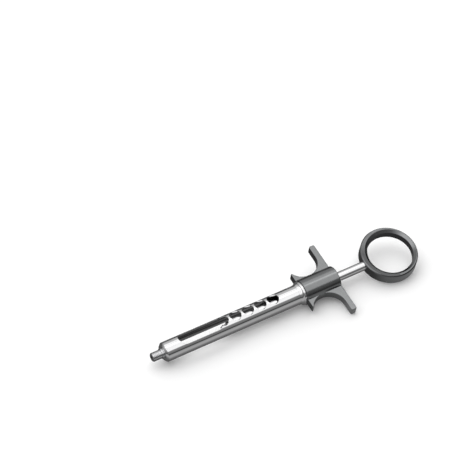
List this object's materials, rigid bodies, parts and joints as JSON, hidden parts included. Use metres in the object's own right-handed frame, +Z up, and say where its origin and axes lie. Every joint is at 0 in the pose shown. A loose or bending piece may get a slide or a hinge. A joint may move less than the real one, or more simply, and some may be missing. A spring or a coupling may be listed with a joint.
{
  "type": "aspirating dental syringe",
  "caption": "Breech-loading dental syringe: slotted chrome barrel, threaded needle end, winged finger grip, sliding rod with a barbed harpoon and a thumb ring.",
  "frame": {"origin": "on the barrel's axis, at the shoulder of the needle thread", "axes": "+X along the barrel from the needle end to the thumb ring, +Z up. The wings are rolled 12.5 and the thumb ring 14.1 degrees about +X from level, as the syringe lies on a table."},
  "size_m": [0.1805, 0.0498, 0.0158],
  "materials": {
    "chromed_brass": "polished",
    "barrel_chrome": "polished",
    "rod_chrome": "polished",
    "harpoon_steel": "machined",
    "plain_steel": "machined",
    "spring_steel": "drawn wire",
    "insert_brass": "machined",
    "gland_metal": "satin, dark coated",
    "grip_metal": "satin, dark metallic coating",
    "ring_metal": "satin, dark metallic coating",
    "seat_plastic": "matte",
    "sleeve_plastic": "matte",
    "seal_rubber": "matte"
  },
  "bodies": {
    "barrel": {"needle_adapter": "chromed_brass", "barrel_nose": "barrel_chrome", "cartridge_seat": "seat_plastic", "barrel_tube": "barrel_chrome", "barrel_collar": "barrel_chrome", "finger_grip": "grip_metal", "grip_insert": "insert_brass", "spring_seat": "plain_steel", "guide_bearing": "plain_steel", "seal_washer": "plain_steel", "rod_seal": "seal_rubber", "gland_nut": "gland_metal", "spring_clip": "spring_steel", "return_spring": "spring_steel"},
    "sleeve": {"bearing_sleeve": "sleeve_plastic"},
    "plunger": {"piston_rod": "rod_chrome", "piston_head": "rod_chrome", "harpoon": "harpoon_steel", "thumb_ring": "ring_metal", "ring_screw": "plain_steel"},
    "washer": {"spring_washer": "plain_steel"}
  },
  "joints": [
    {"name": "plunger_turn", "type": "hinge", "parent": "barrel", "child": "sleeve", "pos_m": [0.1098, 0, 0], "axis": [1, 0, 0], "continuous": true},
    {"name": "plunger_slide", "type": "slide", "parent": "sleeve", "child": "plunger", "axis": [1, 0, 0], "range_m": [-0.02, 0.0402]},
    {"name": "washer_slide", "type": "slide", "parent": "barrel", "child": "washer", "axis": [1, 0, 0], "range_m": [0, 0.005], "stiffness_N_per_m": 900, "springref_m": -0.001, "deforming": ["return_spring"]}
  ]
}
